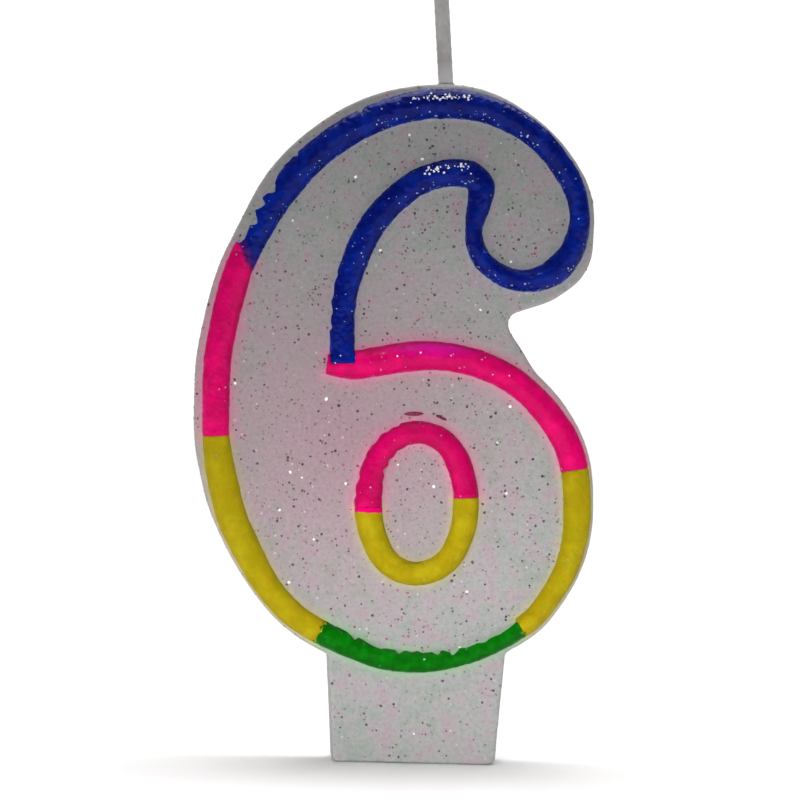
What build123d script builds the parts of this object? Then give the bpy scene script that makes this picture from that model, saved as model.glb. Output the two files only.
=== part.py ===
from build123d import *
import os
from math import atan2, cos, degrees, radians, sin, sqrt

# Birthday candle in the shape of the numeral 6, in millimetres.
# One white wax casting holds the slab, the raised line that draws the numeral and the stem.
# Thin coats of coloured wax lie over the raised line, and a cotton wick is cast into the slab.
# Origin: middle of the stem's foot. +Z is up, the decorated front faces -Y, +X is to the right.

# ---- Numeral, measured along the middle of the raised line ----
NUMERAL_WIDTH = 40.5       # leftmost to rightmost
NUMERAL_HEIGHT = 62.05     # lowest to highest
NUMERAL_FOOT = 11.4        # height of the lowest point above the stem's foot
COUNTER_WIDTH = 10.9       # the small ring in the bowl; it stretches with the numeral
COUNTER_HEIGHT = 15.7
COUNTER_RISE = 17.6        # ring's middle above the numeral's lowest point
COUNTER_OFFSET = -0.4      # ring's middle, sideways from the stem's middle

# ---- Slab and stem ----
SLAB_THICKNESS = 8.0
EDGE_MARGIN = 0.65         # usual flat strip between the raised line and the slab's edge
FRONT_EDGE_RADIUS = 0.4
BACK_EDGE_RADIUS = 0.3
STEM_FOOT_WIDTH = 18.0
STEM_NECK_WIDTH = 19.6     # where the stem runs into the bowl
STEM_CORNER_RADII = (0.3, 0.9)
NECK_CORNER_RADIUS = 0.35

# ---- Raised line and the coloured coats on it ----
LINE_WIDTH = 3.0           # full width of the coated line; each node scales it by its fullness
LINE_HEIGHT = 1.5          # coated line, above the slab's face
COAT_THICKNESS = 0.25

# ---- Wick ----
WICK_DIAMETER = 1.7
WICK_EXPOSED = 13.0
WICK_OFFSET = 1.85         # where it leaves the wax, sideways from the stem's middle
WICK_LEAN = 4.5            # degrees to the left of upright, outside the wax
WICK_BEND = 6.0            # buried length over which it turns from upright to its lean
WICK_ROOT = 12.0           # height of the buried end above the stem's foot

# ---- Lettering grid ----
# The numeral is drawn on a grid that starts at its lowest point and is stretched to its size.
# A node is (x, z, heading in degrees, fullness); arcs join each node to the next.
GRID_WIDTH = 40.5
GRID_HEIGHT = 62.05

HOOK_RIGHT = (16.85, 49.5, 90, 0.75)
CROWN = [
    (12.5, 58.0, 137, 0.87),
    (2.0, 62.05, 180, 1.1),
    (-7.3, 59.65, 207, 1.05),
    (-14.35, 54.15, 228, 1.08),
    (-20.25, 44.65, 245, 1.02),
]
BLUE = [
    (-9.1, 32.9, 92, 0.93),
    (-9.3, 37.6, 90, 0.92),
    (-7.25, 46.35, 66, 0.98),
    (-2.45, 52.4, 38, 0.97),
    (3.9, 54.35, -4, 1.03),
    (5.8, 52.2, -97, 0.97),
    (5.1, 48.1, -92, 0.63),
    (10.8, 42.6, 0, 0.82),
    (14.6, 44.1, 43, 1.0),
    HOOK_RIGHT,
] + CROWN
PINK_LEFT = [BLUE[-1], (-21.95, 39.0, 257, 1.03), (-23.05, 30.4, 270, 1.0), (-22.9, 24.5, 274, 0.98)]
YELLOW_LEFT = [
    PINK_LEFT[-1],
    (-21.95, 19.2, 284, 1.12),
    (-20.35, 14.2, 297, 1.1),
    (-15.3, 6.2, 313, 0.92),
    (-10.9, 3.1, 333, 0.9),
]
GREEN = [YELLOW_LEFT[-1], (-0.6, 0.0, 0, 0.83), (11.5, 4.0, 34, 0.75)]
YELLOW_RIGHT = [GREEN[-1], (15.6, 9.0, 60, 0.82), (17.45, 16.8, 90, 1.02), (17.05, 21.7, 101, 1.02)]
PINK_RIGHT = [
    YELLOW_RIGHT[-1],
    (11.7, 30.1, 139, 0.98),
    (0.3, 34.0, 181, 1.07),
    (-4.0, 33.45, 190, 1.1),
    (-8.2, 32.75, 184, 1.08),
    (-10.85, 32.8, 172, 0.75),
]
# The counter's nodes are (angle round its ellipse, fullness).
RING_RIGHT = (5, 0.95)
RING_TOP = (90, 0.83)
RING_LEFT = (184, 1.03)
RING_BOTTOM = (270, 0.85)
# The slab fills the notch between hook and bowl up to this edge.
NOTCH = [
    (10.5, 35.4, 125, 0),
    (9.25, 37.9, 90, 0),
    (10.1, 39.05, 20, 0),
    (14.7, 40.9, 33, 0),
    (17.8, 43.9, 62, 0),
]
# The line doesn't run quite parallel to the slab's edge. These are the widths of the flat strip
# beside each node of the outer line, from the hook round the crown, down the left side, under the
# bowl and up to the neck, as shares of EDGE_MARGIN.
STRIP = [
    0.95, 0.5, 0.8, 1.5, 1.55, 0.9,
    1.1, 1.35, 1.45, 0.95, 0.45, 0.45, 0.75,
    0.6, 0.75, 0.6, 0.5, 0.6, 1.15,
]

# ---- Derived ----
FACE_Y = -SLAB_THICKNESS / 2
FRONT = Plane.XZ.offset(SLAB_THICKNESS / 2)
FRONT_RADIUS = min(FRONT_EDGE_RADIUS, EDGE_MARGIN * min(STRIP) * 0.7)


def place(node):
    """Stretch a node of the lettering grid to the numeral's real size."""
    x, z, heading, fullness = node
    wide = NUMERAL_WIDTH / GRID_WIDTH
    tall = NUMERAL_HEIGHT / GRID_HEIGHT
    turned = degrees(atan2(tall * sin(radians(heading)), wide * cos(radians(heading))))
    return (wide * x, NUMERAL_FOOT + tall * z, turned, LINE_WIDTH * fullness)


def place_on_ring(node):
    """A node on the counter's ellipse, running anticlockwise, stretched with the numeral."""
    angle, fullness = node
    a = COUNTER_WIDTH / 2
    b = COUNTER_HEIGHT / 2
    x = COUNTER_OFFSET + a * cos(radians(angle))
    z = COUNTER_RISE + b * sin(radians(angle))
    heading = degrees(atan2(b * cos(radians(angle)), -a * sin(radians(angle))))
    return place((x, z, heading, fullness))


def biarc(start, end):
    """Two tangent arcs that leave start and reach end on their headings."""
    p, q = Vector(*start[:2]), Vector(*end[:2])
    t1 = Vector(cos(radians(start[2])), sin(radians(start[2])))
    t2 = Vector(cos(radians(end[2])), sin(radians(end[2])))
    chord = q - p
    a = 2 * (t1.dot(t2) - 1)
    b = -2 * chord.dot(t1 + t2)
    c = chord.dot(chord)
    reach = -c / b if abs(a) < 1e-9 else (-b - sqrt(b * b - 4 * a * c)) / (2 * a)
    k1 = p + t1 * reach
    k2 = q - t2 * reach
    middle = (k1 + k2) * 0.5
    pieces = []
    for tail, tip, tangent in ((p, middle, t1), (middle, q, (k2 - k1).normalized())):
        straight = abs(tangent.cross((tip - tail).normalized()).Z) < 1e-4
        pieces.append(Line(tail, tip) if straight else TangentArc(tail, tip, tangent=tangent))
    return pieces


def section_plane(node):
    """Plane across the line at a node: x runs over the slab's face, y stands out of it."""
    x, z, heading, _ = node
    along = Vector(cos(radians(heading)), 0, sin(radians(heading)))
    across = Vector(-sin(radians(heading)), 0, cos(radians(heading)))
    return Plane(origin=(x, FACE_Y, z), x_dir=across, z_dir=along)


def section(node, inset):
    """Domed half-ellipse section of the line, drawn in by inset all over."""
    arc = EllipticalCenterArc((0, 0), node[3] / 2 - inset, LINE_HEIGHT - inset, start_angle=0, arc_size=180)
    return section_plane(node) * make_face([arc, Line(arc @ 1, arc @ 0)])


def bead(nodes, inset=0.0):
    """Domed line through the nodes, as wide at each node as that node says."""
    spans = []
    for start, end in zip(nodes, nodes[1:]):
        path = Wire([FRONT * piece for piece in biarc(start, end)])
        spans.append(sweep([section(start, inset), section(end, inset)], path=path, multisection=True))
    return spans[0].fuse(*spans[1:]) if len(spans) > 1 else spans[0]


def edge_node(node, strip):
    """The point of the slab's edge beside a node of the line's outer side."""
    x, z, heading, width = node
    out = width / 2 + EDGE_MARGIN * strip
    return (x + out * sin(radians(heading)), z - out * cos(radians(heading)), heading)


def slab_outline():
    """Face of the slab and the stem together, seen from the front."""
    line = [HOOK_RIGHT] + CROWN
    for stretch in (PINK_LEFT, YELLOW_LEFT, GREEN, YELLOW_RIGHT, PINK_RIGHT[:2]):
        line += stretch[1:]
    edge = [edge_node(place(node), strip) for node, strip in zip(line, STRIP, strict=True)]
    edge += [place(node) for node in NOTCH]
    numeral = make_face([piece for a, b in zip(edge, edge[1:] + edge[:1]) for piece in biarc(a, b)])

    foot = STEM_FOOT_WIDTH / 2
    neck = STEM_NECK_WIDTH / 2
    rise = NUMERAL_FOOT + LINE_WIDTH
    top = foot + (neck - foot) * rise / NUMERAL_FOOT
    outline = numeral + make_face(Polyline((-foot, 0), (foot, 0), (top, rise), (-top, rise), close=True))
    for side, radius in zip((-1, 1), STEM_CORNER_RADII):
        foot_corner = outline.vertices().sort_by_distance((side * foot, 0, 0))[0]
        outline = fillet(foot_corner, radius)
        neck_corner = outline.vertices().sort_by_distance((side * neck, NUMERAL_FOOT, 0))[0]
        outline = fillet(neck_corner, NECK_CORNER_RADIUS)
    return outline


def make_slab():
    slab = extrude(FRONT * slab_outline(), -SLAB_THICKNESS)
    slab = fillet(slab.faces().sort_by(Axis.Y)[0].edges(), FRONT_RADIUS)
    return fillet(slab.faces().sort_by(Axis.Y)[-1].edges(), BACK_EDGE_RADIUS)


def make_wick(top):
    """Wick from its buried end up through the wax, then straight out on its lean."""
    lean = radians(WICK_LEAN)
    mouth = Vector(WICK_OFFSET, 0, top)
    neck = mouth + Vector(sin(lean / 2), 0, -cos(lean / 2)) * WICK_BEND
    root = Vector(neck.X, 0, WICK_ROOT)
    tip = mouth + Vector(-sin(lean), 0, cos(lean)) * WICK_EXPOSED
    path = Wire([Line(root, neck), TangentArc(neck, mouth, tangent=(0, 0, 1)), Line(mouth, tip)])
    return sweep(Plane(origin=root, z_dir=(0, 0, 1)) * Circle(WICK_DIAMETER / 2), path=path)


def brush_over_end(coats, upper, lower, start):
    """Let the upper coat cover the end of the lower one, from the middle of the lower line outwards."""
    lap = extrude(section_plane(start) * Rectangle(start[3], LINE_HEIGHT * 3), LINE_WIDTH)
    coats[upper] = coats[upper] + (coats[lower] & lap)
    coats[lower] = coats[lower] - lap


def main():
    stretches = {
        "blue_outline_coat": BLUE,
        "pink_left_coat": PINK_LEFT,
        "yellow_left_coat": YELLOW_LEFT,
        "green_base_coat": GREEN,
        "yellow_right_coat": YELLOW_RIGHT,
        "pink_right_coat": PINK_RIGHT,
    }
    stretches = {name: [place(node) for node in nodes] for name, nodes in stretches.items()}
    stretches["pink_counter_coat"] = [place_on_ring(node) for node in (RING_RIGHT, RING_TOP, RING_LEFT)]
    stretches["yellow_counter_coat"] = [place_on_ring(node) for node in (RING_LEFT, RING_BOTTOM, RING_RIGHT)]

    coats = {name: bead(nodes) for name, nodes in stretches.items()}
    brush_over_end(coats, "blue_outline_coat", "pink_right_coat", stretches["blue_outline_coat"][0])
    ridges = [bead(nodes, COAT_THICKNESS) for nodes in stretches.values()]
    ridge = ridges[0].fuse(*ridges[1:])
    slab = make_slab()
    wick = make_wick(slab.bounding_box().max.Z)

    os.makedirs("parts", exist_ok=True)
    for name, coat in coats.items():
        export_step(coat - ridge, "parts/" + name + ".step")
    export_step(wick, "parts/wick.step")
    export_step(slab + ridge - wick, "parts/wax_body.step")


main()
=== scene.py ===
# %% [markdown]
# # A number candle, from its CAD frame to its looks
# The object is a small birthday candle in the shape of the numeral 6. It is one casting of white
# wax with glitter in it, a raised line round the front that is painted in coloured wax, a stem that
# goes into the cake, and a braided cotton wick. The CAD model gives every size and place. Here
# each CAD solid gets a detailed mesh that stands in the same place, and a procedural material.
# All lengths are metres, so MM turns millimetres into them.

# %% Load the frame
import math
import random

import bpy
import numpy as np
from mathutils import Matrix, Quaternion, Vector
from mathutils import noise as field
from mathutils.bvhtree import BVHTree


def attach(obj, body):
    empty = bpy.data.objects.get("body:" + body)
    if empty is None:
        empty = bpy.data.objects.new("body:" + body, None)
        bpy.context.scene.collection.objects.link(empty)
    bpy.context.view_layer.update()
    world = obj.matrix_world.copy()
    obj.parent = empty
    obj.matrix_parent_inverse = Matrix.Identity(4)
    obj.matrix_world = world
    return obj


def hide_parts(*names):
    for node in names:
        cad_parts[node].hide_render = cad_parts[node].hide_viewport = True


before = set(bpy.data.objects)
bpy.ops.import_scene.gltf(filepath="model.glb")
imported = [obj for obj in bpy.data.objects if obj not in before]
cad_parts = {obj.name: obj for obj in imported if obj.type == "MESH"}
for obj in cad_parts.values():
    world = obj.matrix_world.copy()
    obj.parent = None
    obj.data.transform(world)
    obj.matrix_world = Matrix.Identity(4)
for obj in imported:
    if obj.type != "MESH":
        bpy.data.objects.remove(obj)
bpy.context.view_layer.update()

MM = 0.001
FRONT = -4.0 * MM           # the face of the slab, which the raised line stands on
BACK = 4.0 * MM
bpy.ops.object.select_all(action="DESELECT")

# %% [markdown]
# ## The camera
# A small thing that is seen from half a metre with a long lens hardly shows any perspective, so
# its outline is almost the CAD outline. The camera looks at the middle of the front face from a
# little to the left, and is rolled by a degree and a half, which makes the candle lean.

# %% Place the camera
FRAME_WIDTH = 88.9 * MM
CAMERA_DISTANCE = 460 * MM
CAMERA_ROLL = math.radians(1.5)
SENSOR = 36
LOOK_AT = Vector((-2.6 * MM, FRONT, 40.4 * MM))


def direction(azimuth, height):
    """The way from the candle to a place round it: degrees to the right of the front, and up."""
    a, h = math.radians(azimuth), math.radians(height)
    return Vector((math.sin(a) * math.cos(h), -math.cos(a) * math.cos(h), math.sin(h)))


toward_camera = direction(-3.0, 0.6)
bpy.ops.object.camera_add(location=LOOK_AT + toward_camera * CAMERA_DISTANCE)
camera = bpy.context.object
camera.rotation_mode = "QUATERNION"
turn = (-toward_camera).to_track_quat("-Z", "Y")
camera.rotation_quaternion = turn @ Quaternion((0, 0, 1), CAMERA_ROLL)
camera.data.lens = SENSOR * CAMERA_DISTANCE / FRAME_WIDTH
camera.data.clip_start = 0.01
camera.data.clip_end = 20
bpy.context.scene.camera = camera
print("camera lens", round(camera.data.lens, 1), "mm")

# %% [markdown]
# ## Helpers for meshes
# Blender's operators act on what is selected, so `only` selects one piece. `finish_with` adds a
# modifier and applies it at once. A CAD mesh comes as loose triangles, so `copy_of` merges the
# corners that lie on each other, which makes it one closed skin that a voxel remesh can fill.
# A finished piece has its object at the origin and its place in its mesh, which `settle` sees to.

# %% Select, modify, copy and join
MERGE = 1e-7                # corners closer than this are one corner


def only(piece):
    """Makes this piece the only selected one, and the active one."""
    bpy.ops.object.select_all(action="DESELECT")
    piece.select_set(True)
    bpy.context.view_layer.objects.active = piece


def finish_with(piece, kind, **settings):
    """Adds a modifier with these settings and applies it."""
    only(piece)
    modifier = piece.modifiers.new(kind.lower(), kind)
    for name, value in settings.items():
        setattr(modifier, name, value)
    bpy.ops.object.modifier_apply(modifier=modifier.name)


def copy_of(node, name):
    """A new piece with a CAD node's shape, its loose triangles merged to one skin."""
    piece = bpy.data.objects.new(name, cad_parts[node].data.copy())
    bpy.context.scene.collection.objects.link(piece)
    piece.data.materials.clear()
    only(piece)
    bpy.ops.object.mode_set(mode="EDIT")
    bpy.ops.mesh.select_all(action="SELECT")
    bpy.ops.mesh.remove_doubles(threshold=MERGE)
    bpy.ops.object.mode_set(mode="OBJECT")
    return piece


def settle(piece):
    """Moves a piece's place and turn into its mesh, so that its object is at the origin."""
    only(piece)
    bpy.ops.object.transform_apply(location=True, rotation=True, scale=True)


def join(name, pieces):
    """Joins pieces to one object at the origin."""
    bpy.ops.object.select_all(action="DESELECT")
    for piece in pieces:
        piece.select_set(True)
    bpy.context.view_layer.objects.active = pieces[0]
    bpy.ops.object.join()
    whole = bpy.context.object
    whole.name = name
    settle(whole)
    return whole


def wear(piece, material):
    """Gives a piece this one material."""
    piece.data.materials.clear()
    piece.data.materials.append(material)


print("mesh helpers ready")

# %% [markdown]
# Hand work is never even. Some shaping is easier on all corners at once: `read_points` gives them
# as a table, and `write_points` puts them back. `lumps` lets a Displace modifier push a skin in and
# out by a soft random pattern, which reads as wax that was brushed or poured.

# %% Read and write corners, and raise lumps
def triangles(piece):
    return sum(len(face.vertices) - 2 for face in piece.data.polygons)


def read_points(piece):
    """The corners' places and normals, as two tables with one row for each corner."""
    places = np.empty(len(piece.data.vertices) * 3, np.float32)
    facing = np.empty(len(piece.data.vertices) * 3, np.float32)
    piece.data.vertices.foreach_get("co", places)
    piece.data.vertices.foreach_get("normal", facing)
    return places.reshape(-1, 3), facing.reshape(-1, 3)


def write_points(piece, places):
    piece.data.vertices.foreach_set("co", places.astype(np.float32).ravel())
    piece.data.update()


def lumps(piece, name, size, height):
    """Raises and lowers a skin by up to half of height, in lumps of about this size."""
    clouds = bpy.data.textures.new(name, "CLOUDS")
    clouds.noise_scale = size
    finish_with(piece, "DISPLACE", texture=clouds, texture_coords="LOCAL",
                strength=height, mid_level=0.5)


print("corner helpers ready")

# %% [markdown]
# ## Helpers for materials
# A procedural material is a small calculation that runs at each point of a surface. Drawn as
# nodes, even "one minus mask" takes a box and two wires, so this class wraps a socket and turns
# Python's own + - * / into Math nodes. Any other node comes from `add`, settings first.

# %% Shader arithmetic
class Value:
    """A node's output. Sums and products that are written on it become Math nodes."""

    def __init__(self, socket):
        self.socket = socket

    def add(self, kind, settings=None, inputs=None, output=0):
        """Adds a node, sets it, gives its sockets numbers or links, and returns an output."""
        tree = self.socket.id_data
        node = tree.nodes.new("ShaderNode" + kind)
        for name, setting in (settings or {}).items():
            if name == "stops":
                while len(node.color_ramp.elements) < len(setting):
                    node.color_ramp.elements.new(1.0)
                for element, (position, colour) in zip(node.color_ramp.elements, setting):
                    element.position = position
                    element.color = colour
            elif name == "interpolation":
                node.color_ramp.interpolation = setting
            else:
                setattr(node, name, setting)
        for name, given in (inputs or {}).items():
            if isinstance(given, Value):
                tree.links.new(given.socket, node.inputs[name])
            else:
                node.inputs[name].default_value = given
        return Value(node.outputs[output])

    def out(self, name):
        """Another output of the same node."""
        return Value(self.socket.node.outputs[name])

    def math(self, operation, first, second=0.0):
        return self.add("Math", {"operation": operation}, {0: first, 1: second})

    def __add__(self, other):
        return self.math("ADD", self, other)

    def __sub__(self, other):
        return self.math("SUBTRACT", self, other)

    def __rsub__(self, other):
        return self.math("SUBTRACT", other, self)

    def __mul__(self, other):
        return self.math("MULTIPLY", self, other)

    def __truediv__(self, other):
        return self.math("DIVIDE", self, other)

    __radd__ = __add__
    __rmul__ = __mul__

    def held(self):
        """The same value, kept between 0 and 1."""
        return self.add("Clamp", {}, {"Value": self})


print("shader arithmetic ready")

# %% [markdown]
# Most of the looks here come from three moves: mix two colours by a mask, spread a soft noise, and
# sow small round grains. Each is a function, so that a material reads like a recipe.

# %% Colours, patterns and new materials
def tint(red, green, blue):
    """A colour for a socket, from the three parts of its everyday 0 to 255 values."""
    parts = [(c / 255 / 12.92) if c < 10.3 else ((c / 255 + 0.055) / 1.055) ** 2.4
             for c in (red, green, blue)]
    return (*parts, 1.0)


def mix(mask, first, second):
    """first where mask is 0, second where it is 1."""
    return mask.add("Mix", {"data_type": "RGBA"}, {0: mask, 6: first, 7: second}, 2)


def noise(place, size, detail=2.0):
    """A soft random pattern from 0 to 1 with spots of about this size."""
    inputs = {"Vector": place, "Scale": 1 / size, "Detail": detail, "Roughness": 0.6}
    return place.add("TexNoise", {}, inputs)


def grains(place, spacing, radius, edge=1.6):
    """Small round spots in the depth of the material: a mask, and a random value for each."""
    cells = place.add("TexVoronoi", {}, {"Vector": place, "Scale": 1 / spacing})
    mask = ((radius / spacing - cells) * (spacing / radius * edge)).held()
    return mask, cells.out("Color").add("SeparateColor", {}, {"Color": cells.out("Color")})


def new_material(name, **fixed):
    """A material with these fixed numbers on its shader, its shader, and the place socket."""
    material = bpy.data.materials.new(name)
    material.use_nodes = True
    shader = material.node_tree.nodes["Principled BSDF"]
    for socket, value in fixed.items():
        shader.inputs[socket.replace("_", " ")].default_value = value
    place = Value(material.node_tree.nodes.new("ShaderNodeTexCoord").outputs["Object"])
    return material, shader, place


def feed(shader, **values):
    """Links values to the shader's sockets."""
    for name, value in values.items():
        shader.id_data.links.new(value.socket, shader.inputs[name.replace("_", " ")])


print("material helpers ready")

# %% [markdown]
# ## The painted coats
# The colours are thin films of coloured wax, brushed over the raised line by hand. A film is a
# quarter of a millimetre thick, so each one starts as its CAD solid. Where the brush missed the
# steep side of the line, the film ends in ragged teeth and the white line shows beside it.
# Such an edge can't be worked out, so its corners are listed, in millimetres to the right of the
# middle of the foot, and up. Each jagged line is closed by a few corners outside the film.

# %% Where the brush missed the line
BLUE_TEETH = [
    (-20.9, 57.3), (-20.3, 57.8), (-19.8, 59.2), (-18.9, 59.5), (-19.0, 60.2), (-19.2, 61.0),
    (-18.6, 61.2), (-18.0, 61.7), (-18.5, 62.4), (-17.9, 62.9), (-17.1, 63.0), (-17.1, 64.2),
    (-16.8, 65.1), (-16.1, 66.0), (-15.6, 66.5), (-15.4, 67.0), (-14.5, 67.1), (-14.7, 67.7),
    (-13.8, 68.5), (-12.7, 69.8), (-11.9, 70.3), (-11.7, 70.8), (-10.4, 71.7), (-9.6, 72.2),
    (-8.6, 72.5), (-7.8, 72.1), (-7.3, 73.1), (-6.2, 73.5), (-5.9, 73.1), (-5.5, 73.9),
    (-4.6, 74.2), (-4.2, 74.05), (-3.6, 74.7), (-2.4, 75.3),
]
BLUE_OUTSIDE = [(-2.4, 79.0), (-14.0, 77.0), (-23.0, 69.0), (-25.0, 60.0)]
STROKE_TEETH = [
    (-10.3, 48.0), (-10.55, 49.0), (-10.3, 50.0), (-10.5, 51.2), (-10.2, 52.0), (-10.35, 53.0),
    (-9.8, 54.0), (-10.0, 54.9), (-9.4, 56.0), (-9.5, 56.9), (-8.9, 57.9), (-8.9, 58.8),
    (-8.1, 59.6), (-8.0, 60.5),
]
STROKE_OUTSIDE = [(-10.0, 62.5), (-13.0, 59.0), (-13.0, 48.0)]
GREEN_TEETH = [
    (-9.9, 15.9), (-9.0, 15.0), (-8.3, 14.8), (-7.5, 14.2), (-7.0, 13.6), (-6.5, 13.9),
    (-5.4, 13.25), (-4.1, 12.7), (-3.3, 12.75), (-2.5, 12.55), (-2.1, 12.2), (-1.3, 12.55),
    (-0.5, 12.4), (0.0, 12.6), (0.7, 12.35), (1.6, 12.5), (2.3, 12.2), (2.7, 12.7),
    (3.6, 12.6), (3.9, 12.2), (4.8, 13.0), (5.4, 13.05), (6.6, 13.6), (7.4, 13.7), (8.4, 14.4),
    (9.6, 14.95), (11.1, 16.1),
]
GREEN_ABOVE = [(11.1, 20.0), (-9.9, 20.0)]
RING_OUTER_TEETH = [
    (-7.6, 28.6), (-7.15, 29.6), (-7.3, 30.6), (-6.85, 31.6), (-6.95, 32.4), (-6.45, 33.4),
    (-6.2, 34.0), (-6.0, 34.9), (-5.7, 35.2), (-5.1, 35.7), (-4.6, 36.6), (-3.9, 36.8),
    (-3.3, 37.3), (-2.6, 37.45), (-2.3, 38.2),
]
RING_OUTSIDE = [(-5.0, 40.5), (-9.0, 37.0), (-9.5, 28.6)]
RING_INNER_TEETH = [
    (-4.1, 28.6), (-4.45, 29.5), (-4.15, 30.4), (-4.45, 31.2), (-4.15, 31.9), (-4.35, 32.6),
    (-3.75, 33.1), (-3.8, 33.7), (-3.0, 34.2), (-2.9, 34.8), (-2.1, 35.0), (-1.6, 35.5),
    (-0.9, 35.4), (-0.4, 35.75), (0.2, 35.3),
]
RING_INSIDE = [(0.2, 33.0), (-2.5, 31.5), (-2.5, 28.6)]
print("jagged corners", len(BLUE_TEETH + STROKE_TEETH + GREEN_TEETH + RING_OUTER_TEETH
                            + RING_INNER_TEETH))

# %% [markdown]
# The missing paint could be white colour on the film, but a real edge catches light and throws a
# shadow. So a wall is raised on each jagged outline, as a filled flat curve with a thickness, and
# a Boolean modifier cuts it out of the film.

# %% Cut the ragged edges of the blue, green and pink films
WALL_MIDDLE = -4.9 * MM     # how far forward the wall's middle stands
WALL_HALF = 1.2 * MM        # half of its thickness, which takes in the whole film


def raise_wall(corners):
    """A flat outline, given in mm, made a solid wall that stands upright through the films."""
    bpy.ops.curve.primitive_nurbs_path_add()
    wall = bpy.context.object
    wall.data.splines.clear()
    wall.data.dimensions = "2D"
    wall.data.fill_mode = "BOTH"
    outline = wall.data.splines.new("POLY")
    outline.points.add(len(corners) - 1)
    for point, (x, z) in zip(outline.points, corners):
        point.co = (x * MM, z * MM, 0, 1)
    outline.use_cyclic_u = True
    wall.data.extrude = WALL_HALF
    only(wall)
    bpy.ops.object.convert(target="MESH")
    wall = bpy.context.object
    bpy.ops.object.mode_set(mode="EDIT")
    bpy.ops.mesh.select_all(action="SELECT")
    bpy.ops.mesh.remove_doubles(threshold=MERGE)
    bpy.ops.mesh.normals_make_consistent(inside=False)
    bpy.ops.object.mode_set(mode="OBJECT")
    wall.rotation_euler = (math.radians(90), 0, 0)
    wall.location = (0, WALL_MIDDLE, 0)
    settle(wall)
    return wall


def cut_ragged(piece, teeth, beyond):
    """Cuts away what lies between a jagged line and some corners beyond the film."""
    wall = raise_wall(teeth + beyond)
    finish_with(piece, "BOOLEAN", operation="DIFFERENCE", object=wall, solver="EXACT")
    bpy.data.objects.remove(wall)


blue = copy_of("blue_outline_coat", "blue_outline_paint")
cut_ragged(blue, BLUE_TEETH, BLUE_OUTSIDE)
cut_ragged(blue, STROKE_TEETH, STROKE_OUTSIDE)
green = copy_of("green_base_coat", "green_base_paint")
cut_ragged(green, GREEN_TEETH, GREEN_ABOVE)
ring = copy_of("pink_counter_coat", "pink_counter_paint")
cut_ragged(ring, RING_OUTER_TEETH, RING_OUTSIDE)
cut_ragged(ring, RING_INNER_TEETH, RING_INSIDE)
ragged = {"blue_outline_coat": blue, "green_base_coat": green, "pink_counter_coat": ring}
for film in ragged.values():
    print(film.name, "now has", len(film.data.polygons), "faces")

# %% [markdown]
# Brushed wax sets in soft lumps where the brush lifted, and over grains of glitter. A voxel
# remesh gives the film an even skin of small squares, and three sizes of lumps then move it.
# Smoothing pulls two neighbouring films apart by a hair, so each is first swollen a little.

# %% Remesh the films and give them lumps
COATS = {                   # CAD node: name of the piece, colour, size of a voxel in mm
    "blue_outline_coat": ("blue_outline_paint", "blue", 0.135),
    "pink_left_coat": ("pink_left_paint", "pink", 0.115),
    "yellow_left_coat": ("yellow_left_paint", "yellow", 0.115),
    "green_base_coat": ("green_base_paint", "green", 0.105),
    "yellow_right_coat": ("yellow_right_paint", "yellow", 0.115),
    "pink_right_coat": ("pink_right_paint", "pink", 0.115),
    "pink_counter_coat": ("pink_counter_paint", "pink", 0.115),
    "yellow_counter_coat": ("yellow_counter_paint", "yellow", 0.115),
}
SWELL = 0.035 * MM
LUMP_HEIGHT = {"blue": 0.17, "pink": 0.13, "yellow": 0.10, "green": 0.15}
LUMP_SIZES = {              # size of a lump in mm, and its share of the height
    "brush_lumps_": (2.2, 1.0),
    "dab_lumps_": (0.95, 0.70),
    "grain_lumps_": (0.42, 0.70),
}

coats = {}
for node, (name, colour, voxel) in COATS.items():
    film = ragged.get(node) or copy_of(node, name)
    finish_with(film, "REMESH", mode="VOXEL", voxel_size=voxel * MM, use_smooth_shade=True)
    finish_with(film, "SMOOTH", factor=0.5, iterations=2)
    finish_with(film, "DISPLACE", strength=SWELL, mid_level=0.0)
    for kind, (size, share) in LUMP_SIZES.items():
        lumps(film, kind + node, size * MM, share * LUMP_HEIGHT[colour] * MM)
    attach(film, "root")
    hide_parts(node)
    colour + "_wax"
    coats[node] = film
    print(name, triangles(film), "triangles")

# %% [markdown]
# ## The wax casting
# The body is poured in one go: slab, raised line and stem. It could be drawn again by hand, but the
# CAD solid already has the right outline, so it is remeshed like the films. Poured wax is never
# quite flat, so it gets long soft waves and small shallow dimples.

# %% Remesh the casting and give it soft waves
WAX_VOXEL = 0.30 * MM
wax = copy_of("wax_body", "wax_casting")
finish_with(wax, "REMESH", mode="VOXEL", voxel_size=WAX_VOXEL, use_smooth_shade=True)
finish_with(wax, "SMOOTH", factor=0.5, iterations=2)
lumps(wax, "casting_waves", 6.5 * MM, 0.10 * MM)
lumps(wax, "casting_dimples", 1.3 * MM, 0.045 * MM)
print("wax casting", triangles(wax), "triangles")

# %% [markdown]
# Wax shrinks as it sets, so the open side at the back sinks in, most of all far from the rim. The
# distance from each corner of the back to the nearest rim corner is measured with a BVH tree,
# which finds the nearest place quickly, and a smooth step turns it into a depth. Every third rim
# corner is enough.

# %% Sink the back
SINK = 0.32 * MM
SINK_RIM = 3.2 * MM         # from the rim to where the back is fully sunk
RIM_DEPTH = 0.5 * MM        # how far in front of the back the rim is measured

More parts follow.
